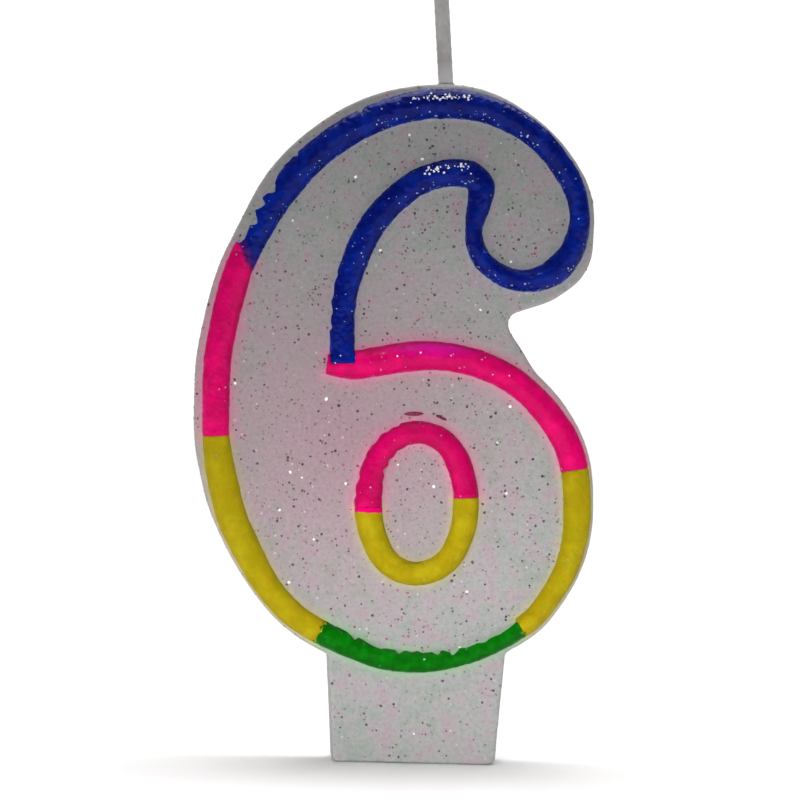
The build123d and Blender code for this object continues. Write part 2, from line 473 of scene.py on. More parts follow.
places, facing = read_points(wax)
rims = places[np.abs(facing[:, 1]) < 0.5][::3]
rim_skin = BVHTree.FromPolygons([Vector(p) for p in rims], [(i, i, i) for i in range(len(rims))])
behind = np.where((facing[:, 1] > 0.9) & (places[:, 1] > BACK - 0.4 * MM))[0]
for i in behind:
    rim_gap = rim_skin.find_nearest(Vector((places[i, 0], BACK - RIM_DEPTH, places[i, 2])))[3]
    inward = min(1.0, rim_gap / SINK_RIM) if rim_gap else 0.0
    places[i, 1] -= SINK * inward * inward * (3 - 2 * inward)
print("back sunk at", len(behind), "points")

# %% [markdown]
# Colour from the paint bleeds a little way into the wax beside it, and each colour goes its own
# way. The distance from the wax to each film is measured, and its fading is kept on the mesh as an
# attribute with a channel for each colour, which the wax material reads later.

# %% Measure where the paint bleeds
BLEED = {"pink": 0.60 * MM, "green": 0.50 * MM, "blue": 0.16 * MM, "yellow": 0.42 * MM}
BLEED_CHANNEL = {"pink": 0, "green": 1, "blue": 2, "yellow": 3}
BLEED_SEARCH = 1.6 * MM
FACE_DEPTH = 0.6 * MM       # wax that lies deeper than this under the front isn't searched

bpy.context.view_layer.update()
depsgraph = bpy.context.evaluated_depsgraph_get()
skins = {node: BVHTree.FromObject(film, depsgraph) for node, film in coats.items()}
bleed = np.zeros((len(places), 4), np.float32)
gap = np.full(len(places), 1.0, np.float32)
for i in np.where(places[:, 1] < FRONT + FACE_DEPTH)[0]:
    point = Vector(places[i])
    for node, skin in skins.items():
        apart = skin.find_nearest(point, BLEED_SEARCH)[3]
        if apart is None:
            continue
        colour = COATS[node][1]
        amount = math.exp(-(apart / BLEED[colour]) ** 1.4)
        channel = BLEED_CHANNEL[colour]
        bleed[i, channel] = max(bleed[i, channel], amount)
        gap[i] = min(gap[i], apart)
print("paint near", int((gap < 0.5 * MM).sum()), "points")

# %% [markdown]
# Where wax meets the foot of the painted line it climbs up a little, as a fillet. The same
# distances say where: the closer to the paint, the further the face comes forward.

# %% Raise the fillet and finish the casting
FILLET_HEIGHT = 0.13 * MM
FILLET_REACH = 0.26 * MM
LINE_FOOT = 0.3 * MM        # the line itself, further forward than this, keeps its shape

on_face = (facing[:, 1] < -0.6) * (places[:, 1] > FRONT - LINE_FOOT)
places[:, 1] -= FILLET_HEIGHT * np.exp(-(gap / FILLET_REACH) ** 2) * on_face
places[:, 2] = np.maximum(places[:, 2], 0.0)
write_points(wax, places)
layer = wax.data.attributes.new("bleed", "FLOAT_COLOR", "POINT")
layer.data.foreach_set("color", bleed.ravel())
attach(wax, "root")
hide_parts("wax_body")
print("fillet raised at", int((on_face & (gap < FILLET_REACH)).sum()), "points")

# %% [markdown]
# ## The wick
# A candle wick is a braid of cotton yarns. A picture of a braid would be flat at its outline, so
# the yarns are real. Eight of them run as helices, four each way, and pass over and under each
# other, so each one breathes in and out as it turns. A path curve with a round bevel draws one.

# %% Draw one yarn of the braid
WICK_ROOT = 12.0 * MM
WICK_TIP = 88.25 * MM
BRAID_RADIUS = 0.60 * MM
BRAID_WAVE = 0.03 * MM
BRAID_PITCH = 5.6 * MM
YARN_RADIUS = 0.25 * MM
YARN_STEP = 0.22 * MM
YARNS_EACH_WAY = 4


def yarn(way, phase):
    """One yarn of the braid: a helix that goes over and under the yarns of the other way."""
    bpy.ops.curve.primitive_nurbs_path_add()
    path = bpy.context.object
    path.data.splines.clear()
    steps = int((WICK_TIP - WICK_ROOT) / YARN_STEP)
    spline = path.data.splines.new("NURBS")
    spline.points.add(steps)
    for i, point in enumerate(spline.points):
        height = WICK_ROOT + (WICK_TIP - WICK_ROOT) * i / steps
        swing = 2 * math.pi * height / BRAID_PITCH
        radius = BRAID_RADIUS + BRAID_WAVE * way * math.cos(YARNS_EACH_WAY * swing)
        angle = way * swing + phase
        point.co = (radius * math.cos(angle), radius * math.sin(angle), height, 1)
    spline.order_u = 3
    spline.use_endpoint_u = True
    path.data.bevel_depth = YARN_RADIUS
    path.data.bevel_resolution = 2
    path.data.use_fill_caps = True
    only(path)
    bpy.ops.object.convert(target="MESH")
    return bpy.context.object


print("a yarn turns", round((WICK_TIP - WICK_ROOT) / BRAID_PITCH, 1), "times")

# %% [markdown]
# The yarns are drawn straight up, because a helix is easy to write round a straight line. A plain
# core fills the middle, and a fine voxel remesh then makes one skin of them, as hot wax does.

# %% Braid eight yarns round a core
CORE_RADIUS = 0.83 * MM
BRAID_VOXEL = 0.078 * MM

yarns = [yarn(way, 2 * math.pi * k / YARNS_EACH_WAY)
         for way in (1, -1) for k in range(YARNS_EACH_WAY)]
bpy.ops.mesh.primitive_cylinder_add(
    vertices=20, radius=CORE_RADIUS, depth=WICK_TIP - WICK_ROOT - 0.4 * MM,
    location=(0, 0, (WICK_TIP + WICK_ROOT) / 2))
core = bpy.context.object
wick = join("wick_braid", [*yarns, core])
finish_with(wick, "REMESH", mode="VOXEL", voxel_size=BRAID_VOXEL, use_smooth_shade=True)
finish_with(wick, "SMOOTH", factor=0.5, iterations=1)
print("braid", triangles(wick), "triangles")

# %% [markdown]
# The cut end of cotton frays. A hair system would be heavy for a few short fibres, so each one is
# a slim cone that is cut into lengths and bent outwards, more and more towards its tip.

# %% Fray the cut end
FIBRES = 14
FIBRE_FOOT = 0.08 * MM      # how deep a fibre starts in the wick
fray_random = random.Random(11)


def fibre():
    """A short thin fibre that springs from the cut end of the wick."""
    around = fray_random.uniform(0, 2 * math.pi)
    foot = fray_random.uniform(0.1, 0.55) * MM
    spread = fray_random.uniform(0.05, 0.4) * MM
    tall = fray_random.uniform(0.25, 0.5) * MM
    middle = WICK_TIP + tall / 2 - FIBRE_FOOT
    bpy.ops.mesh.primitive_cone_add(
        vertices=6, radius1=0.055 * MM, radius2=0.02 * MM, depth=tall,
        location=(foot * math.cos(around), foot * math.sin(around), middle))
    piece = bpy.context.object
    settle(piece)
    finish_with(piece, "SUBSURF", levels=1, render_levels=1, subdivision_type="SIMPLE")
    spots, _ = read_points(piece)
    rise = np.clip((spots[:, 2] - WICK_TIP) / tall, 0, 1) ** 2
    spots[:, 0] += spread * math.cos(around) * rise
    spots[:, 1] += spread * math.sin(around) * rise
    write_points(piece, spots)
    return piece


wick = join("wick_braid", [wick] + [fibre() for _ in range(FIBRES)])
print("wick with", FIBRES, "fibres has", triangles(wick), "triangles")

# %% [markdown]
# The wick stands straight in the mould and leans a little where it comes out. So it is bent as the
# CAD wick is: straight up to a neck inside the wax, round an arc from the neck to the mouth of its
# hole, and straight on along the arc's end from there.

# %% Lean the wick
WICK_X = 2.086 * MM
WICK_NECK = 69.62 * MM
WICK_MOUTH = 75.62 * MM
LEAN = math.radians(4.5)

spots, _ = read_points(wick)
arc = (WICK_MOUTH - WICK_NECK) / math.sin(LEAN)
over_neck = np.clip(spots[:, 2] - WICK_NECK, 0, WICK_MOUTH - WICK_NECK)
over_mouth = np.clip(spots[:, 2] - WICK_MOUTH, 0, None)
spots[:, 0] += WICK_X - (arc - np.sqrt(arc ** 2 - over_neck ** 2)) - math.tan(LEAN) * over_mouth
write_points(wick, spots)
bpy.ops.object.shade_smooth()
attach(wick, "root")
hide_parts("wick")
print("wick leans", round(math.degrees(LEAN), 1), "degrees")

# %% [markdown]
# Where the wick leaves the wax, molten wax has climbed a little way up the cotton and set as a
# small collar. It is made as a potter pulls a vase: the top ring of an open cylinder is extruded
# up and drawn in, step by step, and both ends are closed.

# %% Pull the wax collar up at the wick's foot
COLLAR_FOOT = 1.45          # radius in mm
COLLAR_STEPS = [(1.16, 0.0585), (0.98, 0.144), (0.89, 0.261)]   # radius and rise in mm
COLLAR_TOP = 0.45
COLLAR_X = 1.85 * MM
COLLAR_SUNK = 0.30 * MM

bpy.ops.mesh.primitive_cylinder_add(
    vertices=36, radius=COLLAR_FOOT * MM, depth=0.5 * MM, end_fill_type="NOTHING",
    location=(0, 0, 0))
collar = bpy.context.object
collar.name = "wick_collar_wax"
settle(collar)
bpy.ops.object.mode_set(mode="EDIT")
bpy.ops.mesh.select_all(action="DESELECT")
bpy.ops.object.mode_set(mode="OBJECT")
for edge in collar.data.edges:
    edge.select = all(collar.data.vertices[v].co.z > 0 for v in edge.vertices)
for vertex in collar.data.vertices:
    vertex.select = vertex.co.z > 0
bpy.ops.object.mode_set(mode="EDIT")
reached = COLLAR_FOOT
for radius, rise in [*COLLAR_STEPS, (COLLAR_TOP, 0.02)]:
    bpy.ops.mesh.extrude_region_move(TRANSFORM_OT_translate={"value": (0, 0, rise * MM)})
    bpy.ops.transform.resize(value=(radius / reached, radius / reached, 1))
    reached = radius
bpy.ops.mesh.edge_face_add()
bpy.ops.mesh.select_all(action="SELECT")
bpy.ops.mesh.select_non_manifold()
bpy.ops.mesh.edge_face_add()
bpy.ops.mesh.select_all(action="SELECT")
bpy.ops.mesh.normals_make_consistent(inside=False)
bpy.ops.object.mode_set(mode="OBJECT")
print("collar pulled up in", len(COLLAR_STEPS) + 1, "steps")

# %% [markdown]
# Subdivision rounds the collar, and it is then set on the wick with the same lean. It shares the
# casting's material, so it needs the same attribute, with no bleed of paint in it.

# %% Round the collar and set it on the wick
finish_with(collar, "SUBSURF", levels=2, render_levels=2)
collar.location = (COLLAR_X, 0, WICK_MOUTH - COLLAR_SUNK)
collar.rotation_euler = (0, -LEAN, 0)
settle(collar)
lumps(collar, "collar_lumps", 0.6 * MM, 0.12 * MM)
bpy.ops.object.shade_smooth()
unpainted = collar.data.attributes.new("bleed", "FLOAT_COLOR", "POINT")
unpainted.data.foreach_set("color", np.zeros(len(collar.data.vertices) * 4, np.float32))
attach(collar, "root")
print("collar", triangles(collar), "triangles")

# %% [markdown]
# ## The glitter
# The wax is full of tiny hexagons of metallised film, a quarter of a millimetre across. One is
# modelled: a disc of six triangles with its middle pushed up in edit mode, made a thin plate. It
# is one unit wide, and a copy is scaled to its real size. It has few faces, as there are thousands.

# %% Model one flake
DOME = 0.05                 # parts of its width
THICKNESS = 0.09

bpy.ops.mesh.primitive_circle_add(vertices=6, radius=0.5, fill_type="TRIFAN")
flake = bpy.context.object
bpy.ops.object.mode_set(mode="EDIT")
bpy.ops.mesh.select_all(action="DESELECT")
bpy.ops.object.mode_set(mode="OBJECT")
for vertex in flake.data.vertices:
    vertex.select = vertex.co.xy.length < 0.01
bpy.ops.object.mode_set(mode="EDIT")
bpy.ops.transform.translate(value=(0, 0, DOME))
bpy.ops.object.mode_set(mode="OBJECT")
finish_with(flake, "SOLIDIFY", thickness=THICKNESS, offset=0)
print("one flake has", len(flake.data.polygons), "faces")

# %% [markdown]
# A particle system could sow the flakes, but plain Python shows what happens: a random face is
# picked, larger faces more often, and a test says whether a flake may lie there. The copies are
# laid nearly flat, each turned its own way and sunk in a little, and joined to one piece.

# %% Scatter flakes over a skin
JITTER = 0.1 * MM


def scatter(skin, count, seed, keep):
    """Random spots on a skin, evenly spread over its area, where keep says yes."""
    chosen = random.Random(seed)
    mesh = skin.data
    centres = np.empty(len(mesh.polygons) * 3, np.float32)
    facing = np.empty(len(mesh.polygons) * 3, np.float32)
    areas = np.empty(len(mesh.polygons), np.float32)
    mesh.polygons.foreach_get("center", centres)
    mesh.polygons.foreach_get("normal", facing)
    mesh.polygons.foreach_get("area", areas)
    centres, facing = centres.reshape(-1, 3), facing.reshape(-1, 3)
    total = np.cumsum(areas.astype(float))
    spots = []
    while len(spots) < count:
        i = min(int(np.searchsorted(total, chosen.uniform(0, total[-1]))), len(areas) - 1)
        if keep(centres[i], facing[i]):
            aside = Vector([chosen.uniform(-1, 1) * JITTER for _ in range(3)])
            normal = Vector(facing[i])
            spots.append((Vector(centres[i]) + aside - normal * aside.dot(normal), normal))
    return spots


def lay_flakes(name, spots, seed, sizes, tilt, sink):
    """Copies the flake to each spot, and joins the copies to one piece. Sizes are in mm."""
    chosen = random.Random(seed)
    copies = []
    for place, normal in spots:
        copy = flake.copy()
        copy.data = flake.data.copy()
        size = chosen.uniform(*sizes) * MM
        lean = Vector([chosen.gauss(0, tilt) for _ in range(3)])
        upright = (normal + lean).normalized().to_track_quat("Z", "Y")
        spun = upright @ Quaternion((0, 0, 1), chosen.uniform(0, math.pi))
        copy.matrix_world = Matrix.LocRotScale(
            place - normal * sink * MM, spun, (size, size * chosen.uniform(0.75, 1), size))
        bpy.context.scene.collection.objects.link(copy)
        copies.append(copy)
    piece = join(name, copies)
    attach(piece, "root")
    return piece


print("scatter ready")

# %% [markdown]
# Glitter that is stirred into wax settles in loose clumps, and the pale stem holds less of it. A
# noise field with clumps of two millimetres decides, with a little chance mixed in. No flake lies
# under the paint, under the foot or in the wick's hole, where it would never show.

# %% Sow the wax with glitter
GLITTER = {                 # count, seed, smallest and largest in mm, tilt, depth in mm
    "glitter_dark": (1250, 21, (0.13, 0.40), 0.10, 0.004),
    "glitter_rose": (900, 22, (0.14, 0.38), 0.10, 0.006),
    "glitter_green": (480, 23, (0.14, 0.32), 0.10, 0.006),
    "glitter_silver": (260, 24, (0.13, 0.26), 0.36, 0.000),
    "glitter_sparkle": (64, 25, (0.26, 0.44), 0.20, -0.010),
}
CLUMP = 2.4 * MM
STEM_TOP = 11 * MM
FOOT_EDGE = 0.15 * MM
WICK_HOLE = 1.6 * MM
PAINT_EDGE = 0.22 * MM
random_keep = random.Random(5)


def bare_wax(place, normal):
    """Wax that isn't under paint, under the foot, or inside the wick's hole, in loose clumps."""
    if place[2] < FOOT_EDGE or math.hypot(place[0] - WICK_X, place[1]) < WICK_HOLE:
        return False
    fewer_below = 0.45 if place[2] < STEM_TOP else 0.0
    if field.noise(Vector(place) / CLUMP) < random_keep.uniform(-0.75, 0.35) + fewer_below:
        return False
    if place[1] > FRONT + FACE_DEPTH:
        return True
    point = Vector(place)
    return all(skin.find_nearest(point, PAINT_EDGE)[3] is None for skin in skins.values())


glitter = {}
for name, (count, seed, sizes, tilt, sink) in GLITTER.items():
    spots = scatter(wax, count, seed, bare_wax)
    glitter[name] = lay_flakes(name, spots, seed + 50, sizes, tilt, sink)
    print(name, count, "flakes,", triangles(glitter[name]), "triangles")

# %% [markdown]
# Some flakes stick in the paint as well. On the blue line they gather on its lower side, where
# their pale blue-white also stands in for small glints: they are partly glitter and partly painted
# glints. The other colours only hold a few.

# %% Find spots for flakes in the paint
def outer_side(place, normal):
    return normal[1] < -0.15


def lower_side(place, normal):
    return normal[1] < -0.15 and (normal[2] < -0.25 or random_keep.random() < 0.18)


PAINT_FLAKES = {            # count, seed and the side of the line
    "blue_outline_coat": (260, 31, lower_side),
    "pink_right_coat": (26, 32, outer_side),
    "pink_counter_coat": (14, 33, outer_side),
    "pink_left_coat": (8, 34, outer_side),
    "green_base_coat": (6, 35, outer_side),
    "yellow_counter_coat": (6, 36, outer_side),
    "yellow_left_coat": (6, 37, outer_side),
    "yellow_right_coat": (5, 38, outer_side),
}
in_paint = []
for node, (count, seed, keep) in PAINT_FLAKES.items():
    in_paint += scatter(coats[node], count, seed, keep)
print("spots in the paint", len(in_paint))

# %% [markdown]
# The blue crown and the hook glint along a band where the line's rounded top tips up towards the
# light. Bright white flakes are sown on that band only, as painted glints that stand in for the
# lamp's highlight there, and six single ones are placed one by one at spots where the paint glints.

# %% Lay the bright flakes of the crest as painted glints, and the ones in the paint
CREST_GLINT_FLAKES = 84
CREST_RIGHT = 4.4 * MM
# Single white flakes, painted glints on the pink and blue lines.
SINGLE_GLINTS = [         # film, and place in mm
    ("pink_right_coat", -3.2, 46.2), ("pink_right_coat", -0.5, 46.35),
    ("pink_right_coat", 2.9, 45.75), ("pink_right_coat", 9.4, 43.6),
    ("blue_outline_coat", 4.4, 65.6), ("blue_outline_coat", -10.2, 45.6),
]


def upper_crest(place, normal):
    """The band along the top of the crown and of the hook that the lamp lights, where white flakes
    are laid as painted glints.
    """
    left_end = -2.4 * MM if place[2] > 70 * MM else -0.6 * MM
    tips_up = 0.25 < normal[2] < 0.55 and normal[1] < -0.5
    return tips_up and left_end < place[0] < CREST_RIGHT


# White flakes on the lit band of the blue crest, as painted glints.
glint_spots = scatter(coats["blue_outline_coat"], CREST_GLINT_FLAKES, 39, upper_crest)
for node, x, z in SINGLE_GLINTS:
    ahead_of_it = Vector((x, -9.0, z)) * MM
    glint_spots.append(skins[node].find_nearest(ahead_of_it)[:2])
glitter["glitter_crest"] = lay_flakes("glitter_crest", glint_spots, 62, (0.10, 0.34), 0.1, -0.01)
glitter["glitter_on_paint"] = lay_flakes("glitter_on_paint", in_paint, 61, (0.10, 0.26), 0.2, 0.01)
bpy.data.objects.remove(flake)
print("bright flakes", len(glint_spots))

# %% [markdown]
# ## Stray flecks of paint
# Two thin smears of pink sit above the small ring, where the brush touched the wax, and a drop of
# blue beside the end of the blue line. Each is a ball that is pressed flat and made lumpy.

# %% Press the flecks flat
FLECKS = {                  # place, length and width in mm, and turn in degrees
    "pink_fleck_left": (-1.05, 38.9, 2.2, 0.46, 3),
    "pink_fleck_right": (2.05, 38.55, 1.4, 0.40, -22),
    "blue_fleck": (-20.75, 57.35, 0.34, 0.30, 20),
}
FLECK_THICKNESS = 0.22 * MM
FLECK_Y = FRONT - 0.02 * MM

flecks = {}
for name, (x, z, long, wide, turned) in FLECKS.items():
    bpy.ops.mesh.primitive_uv_sphere_add(
        segments=20, ring_count=12, radius=0.5, location=(x * MM, FLECK_Y, z * MM),
        rotation=(0, -math.radians(turned), 0), scale=(long * MM, FLECK_THICKNESS, wide * MM))
    fleck = bpy.context.object
    settle(fleck)
    lumps(fleck, "smear_" + name, 0.35 * MM, 0.14 * MM)
    bpy.ops.object.shade_smooth()
    fleck.name = name
    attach(fleck, "root")
    name.split("_")[0] + "_wax"
    flecks[name] = fleck
print("flecks", sorted(flecks))

# %% [markdown]
# ## The wax material
# Paraffin lets light in and scatters it, which subsurface scattering gives. Its colour isn't even:
# it drifts between rose, grey and a touch of green, and is rosier round the middle of the left
# side. A colour ramp on a large soft noise gives the drift, and finer noise the cloudy grain.

# %% The wax's own colour
WAX_RAMP = [(0.36, tint(141, 147, 141)), (0.5, tint(152, 152, 151)), (0.62, tint(157, 145, 150))]
ROSY = tint(156, 127, 137)
ROSY_MIDDLE = Vector((-9.0, -10.0, 36.0)) * MM
ROSY_REACH = 22 * MM
CLOUDY_DARK = tint(110, 101, 105)
CLOUDY_PALE = tint(166, 168, 165)

wax_material, shader, place = new_material(
    "glitter_wax", Subsurface_Weight=0.5, Subsurface_Scale=1.2 * MM, IOR=1.43,
    Specular_IOR_Level=0.22, Coat_Roughness=0.3)
shader.inputs["Subsurface Radius"].default_value = (1.0, 0.92, 0.85)
base = place.add("ValToRGB", {"stops": WAX_RAMP}, {"Fac": noise(place, 2.2 * MM, 4)})
deeper = place.add("Mapping", {}, {"Vector": place, "Scale": (1.0, 2.5, 1.0)})
away = deeper.add("VectorMath", {"operation": "DISTANCE"}, {0: deeper, 1: ROSY_MIDDLE}, "Value")
base = mix((1.05 - away / ROSY_REACH).held() * 0.9, base, ROSY)
fine = noise(place, 0.5 * MM, 3)
base = mix(((fine - 0.5) * 3 + 0.1).held() * 0.40, base, CLOUDY_DARK)
base = mix(((0.44 - fine) * 4).held() * 0.4, base, CLOUDY_PALE)
print("wax colour has", len(wax_material.node_tree.nodes), "nodes")

# %% [markdown]
# Flakes deep in the wax can't be made as meshes, because they are seen through it. They are soft
# round spots in its colour, in two sizes. Each spot's random value picks its tint from a ramp with
# hard steps, so that a spot is dark, rose, green or silver and never something in between.

# %% Flakes that lie deep in the wax
DEEP_TINTS = [(0.0, tint(88, 74, 81)), (0.34, tint(138, 92, 110)), (0.52, tint(92, 115, 87)),
              (0.66, tint(76, 69, 76)), (0.90, tint(196, 194, 195))]
NEAR_TINTS = [(0.0, tint(74, 64, 71)), (0.5, tint(122, 88, 101)), (0.88, tint(186, 186, 186))]


def pick(kind, tints):
    """One of these tints, by a random value."""
    return kind.add("ValToRGB", {"interpolation": "CONSTANT", "stops": tints}, {"Fac": kind})


deep, kind = grains(place, 0.80 * MM, 0.17 * MM)
base = mix(deep * 0.70, base, pick(kind, DEEP_TINTS))
near, kind = grains(place, 0.47 * MM, 0.08 * MM)
base = mix(near * 0.55, base, pick(kind, NEAR_TINTS))
print("tints of deep flakes", len(DEEP_TINTS) + len(NEAR_TINTS))

# %% [markdown]
# The bleed of the paint comes from the attribute that was measured on the mesh. A painted texture
# would do the same, but the attribute stays right when the films change. Bump adds pits and
# grains that are too fine for the mesh.

# %% Bleeding paint, and the wax's relief
bleeding = place.add("Attribute", {"attribute_name": "bleed"})
pink_bleed = place.add("SeparateColor", {}, {"Color": bleeding.out("Color")})
base = mix(pink_bleed * 0.50, base, tint(224, 118, 158))
base = mix(pink_bleed.out("Green") * 0.50, base, tint(124, 190, 124))
base = mix(pink_bleed.out("Blue") * 0.40, base, tint(150, 160, 205))
base = mix(bleeding.out("Alpha") * 0.50, base, tint(190, 178, 104))
pits = noise(place, 0.30 * MM, 2)
relief = place.add("Bump", {}, {
    "Strength": 0.5, "Distance": 0.05 * MM, "Height": pits + fine * 0.8 + near * 0.5})
feed(shader, Base_Color=base, Normal=relief, Roughness=0.34 + fine * 0.22)
for piece in (wax, collar):
    wear(piece, wax_material)
print("glitter wax has", len(wax_material.node_tree.nodes), "nodes")

# %% [markdown]
# ## The paints
# Coloured wax is glossier than the casting and less clear, and yellow is the clearest. Its colour
# is deeper in thick strokes. At the foot of the line the blue and the pink are darker, a painted
# shade along the line's edges, and the yellow and the green are paler, where the film is thin.
# Brush ripples are too fine for the mesh, so they are bump. One recipe makes all the colours.

# %% Coloured wax
FILM_FOOT = 0.45 * MM       # the film's colour fades over this height at the foot of the line


def paint(name, deep, usual, foot_film_and_shade, clear, rough, gloss):
    """A coloured wax: deep in thick strokes, with a foot colour at the foot of the line, a painted
    shade for blue and pink.
    """
    material, shader, place = new_material(
        name, Subsurface_Weight=clear, Subsurface_Scale=0.6 * MM, IOR=1.45,
        Specular_IOR_Level=0.04, Coat_Weight=gloss, Coat_Roughness=0.06)
    strokes = noise(place, 1.6 * MM, 3)
    colour = mix(((strokes - 0.42) * 4).held(), deep, usual)
    height = place.add("SeparateXYZ", {}, {"Vector": place}, "Y")
    film = ((height - (FRONT - FILM_FOOT)) / FILM_FOOT).held()
    # The foot of the line takes the foot colour: for blue and pink a darker painted shade along the
    # line's edges, for yellow and green the paler thin film.
    colour = mix(film * (0.15 + noise(place, 0.5 * MM) * 0.4), colour, foot_film_and_shade)
    grain, kind = grains(place, 0.62 * MM, 0.10 * MM)
    colour = mix(grain * (kind - 0.35).held() * 0.6, colour, foot_film_and_shade)
    ripple = noise(place, 0.45 * MM, 3)
    relief = place.add("Bump", {}, {
        "Strength": 0.9, "Distance": 0.09 * MM, "Height": ripple * 1.3 + grain * 0.7})
    feed(shader, Normal=relief, Roughness=rough + strokes * 0.16)
    return material, shader, place, colour


# The foot colour of blue and pink is darker, a painted shade along the edges of the line; for
# yellow and green it is the paler thin film.
PAINTS = {                  # deep, usual and thin colour, clearness, roughness, gloss
    "blue": (tint(1, 15, 100), tint(2, 32, 134), tint(1, 20, 96), 0.03, 0.20, 0.16),
    "pink": (tint(184, 2, 84), tint(208, 2, 98), tint(192, 4, 92), 0.18, 0.28, 0.12),
    "yellow": (tint(148, 132, 8), tint(162, 146, 16), tint(166, 154, 38), 0.40, 0.42, 0.02),
    "green": (tint(1, 84, 2), tint(2, 108, 4), tint(4, 112, 8), 0.06, 0.30, 0.10),
}
print("colours", sorted(PAINTS))

# %% [markdown]
# Wet paints ran into each other where two colours meet. Blue and pink turn purple round their
# joint, and green and yellow lap over each other in a wavy line. A joint is a place and the way
# across it, so a material can tell which side a point is on, and noise makes the line wander.

# %% Where one paint runs over another
BLUE_PINK = (-20.1, -5.0, 55.8)
TO_PINK = (-0.89, 0.0, -0.46)
TO_BLUE = (0.89, 0.0, 0.46)
RING_LEFT = (-5.85, -4.9, 28.4)
UP = (0.0, 0.0, 1.0)
GREEN_LEFT = (-10.9, -4.8, 14.45)
GREEN_RIGHT = (11.5, -4.8, 15.4)
RUN_TINTS = {colour: values[1] for colour, values in PAINTS.items()}
RUN_TINTS["purple"] = tint(74, 12, 96)
RUNS = {                    # the other colour, joint, way across, wander, softness, shift in mm
    "blue": [("purple", BLUE_PINK, TO_PINK, 1.2, 0.7, -0.45),
             ("pink", BLUE_PINK, TO_PINK, 1.2, 0.5, 0.2)],
    "pink_left": [("purple", BLUE_PINK, TO_BLUE, 1.2, 0.5, -0.25),
                  ("blue", BLUE_PINK, TO_BLUE, 1.2, 0.7, 0.4)],
    "yellow": [("pink", RING_LEFT, UP, 0.3, 0.1, -0.55),
               ("green", GREEN_LEFT, (0.90, 0.0, -0.43), 1.6, 0.15, 0.0),
               ("green", GREEN_RIGHT, (-0.83, 0.0, -0.56), 1.6, 0.15, 0.0)],
    "green": [("yellow", GREEN_LEFT, (-0.90, 0.0, 0.43), 1.6, 0.15, 0.0),
              ("yellow", GREEN_RIGHT, (0.83, 0.0, 0.56), 1.6, 0.15, 0.0)],
}
JOINT_REACH = 3.4           # mm round the joint where the colours can run


def run_over(place, colour, other, joint, across, wander, soft, shift):
    """Turns a colour into another one on the far side of a joint, along a wavy line."""
    apart = place.add("VectorMath", {"operation": "SUBTRACT"}, {0: place, 1: Vector(joint) * MM})
    reach = apart.add("VectorMath", {"operation": "LENGTH"}, {0: apart}, "Value")
    beyond = apart.add("VectorMath", {"operation": "DOT_PRODUCT"}, {0: apart, 1: across}, "Value")
    wavy = beyond + (noise(place, 0.7 * MM) - 0.5) * (wander * MM) - shift * MM
    near = ((JOINT_REACH - reach / MM) * 4).held()
    return mix((wavy / (soft * MM) + 0.5).held() * near, colour, other)


# %% [markdown]
# Two films have a look of their own. The long pink line has a violet band along its top, painted
# into its colour: partly traces of blue paint, partly a painted sheen where the top of the line
# faces the light. The pink half of the ring is patchy and darker. So pink is mixed three times,
# each with its own extra.

# %% Painted violet sheen and dark patches
SHEEN_VIOLET = tint(190, 8, 142)
WINE = tint(150, 1, 62)
PAINTED_SHEEN_MIDDLE = Vector((1.0, -5.2, 46.2)) * MM
SIDE_SQUEEZE = 0.2          # a sheen five times as wide as it is high


def painted_violet_sheen(place, colour):
    """A violet band along the top of the pink line, partly traces of blue paint and partly a
    painted sheen.
    """
    flat = place.add("Mapping", {}, {"Vector": place, "Scale": (SIDE_SQUEEZE, 1.0, 1.0)})
    middle = PAINTED_SHEEN_MIDDLE * Vector((SIDE_SQUEEZE, 1.0, 1.0))
    crest = flat.add("VectorMath", {"operation": "DISTANCE"}, {0: flat, 1: middle}, "Value")
    # Violet painted into the colour along the crest: partly blue paint, partly a painted sheen.
    sheen = (1.25 - crest / MM + (noise(place, 0.6 * MM) - 0.5) * 0.8).held()
    return mix(sheen * 0.7, colour, SHEEN_VIOLET)


def wine_patches(place, colour):
    """Darker patches of pink."""
    return mix(noise(place, 2.5 * MM) * 0.9, colour, WINE)


EXTRAS = {"pink": painted_violet_sheen, "pink_ring": wine_patches}
print("extras", sorted(EXTRAS))

# %% [markdown]
# Now each film gets its paint. A film that has no paint of its own wears its colour's.

# %% Mix the paints and put them on
OWN_PAINT = {"pink_left_coat": "pink_left", "pink_counter_coat": "pink_ring"}

paints = {}
for name in ("blue", "pink", "yellow", "green", "pink_left", "pink_ring"):
    values = PAINTS[name.split("_")[0]]
    material, shader, place, colour = paint(name + "_paint", *values)
    if name in EXTRAS:
        colour = EXTRAS[name](place, colour)
    for other, joint, across, wander, soft, shift in RUNS.get(name, []):
        colour = run_over(place, colour, RUN_TINTS[other], joint, across, wander, soft, shift)
    feed(shader, Base_Color=colour)
    paints[name] = material
for node, film in coats.items():
    wear(film, paints[OWN_PAINT.get(node, COATS[node][1])])
print("paints", sorted(paints))

# %% [markdown]
# The flecks are thin smears of paint, in a deeper pink and blue than the lines. The pink is also
# darkened as painted shadow, for the shade round these small ridges.

# %% Dark smears of paint, the pink with painted shadow
FLECK_TINTS = {
    # The dark pink is partly the smear's own colour and partly painted shadow round these small
    # ridges.
    "pink": (tint(74, 22, 40), tint(136, 48, 78)),
    "blue": (tint(8, 14, 50), tint(20, 30, 90)),
}
for name, (dark, pale) in FLECK_TINTS.items():
    material, shader, place = new_material("smear_and_shade_" + name, Specular_IOR_Level=0.3, IOR=1.45)
    patchy = noise(place, 0.25 * MM, 3)
    feed(shader, Base_Color=mix(((patchy - 0.4) * 4).held(), dark, pale),
         Roughness=0.4 + patchy * 0.3)
    for piece_name, piece in flecks.items():
        if piece_name.startswith(name):
            wear(piece, material)
print("dried paints", sorted(FLECK_TINTS))

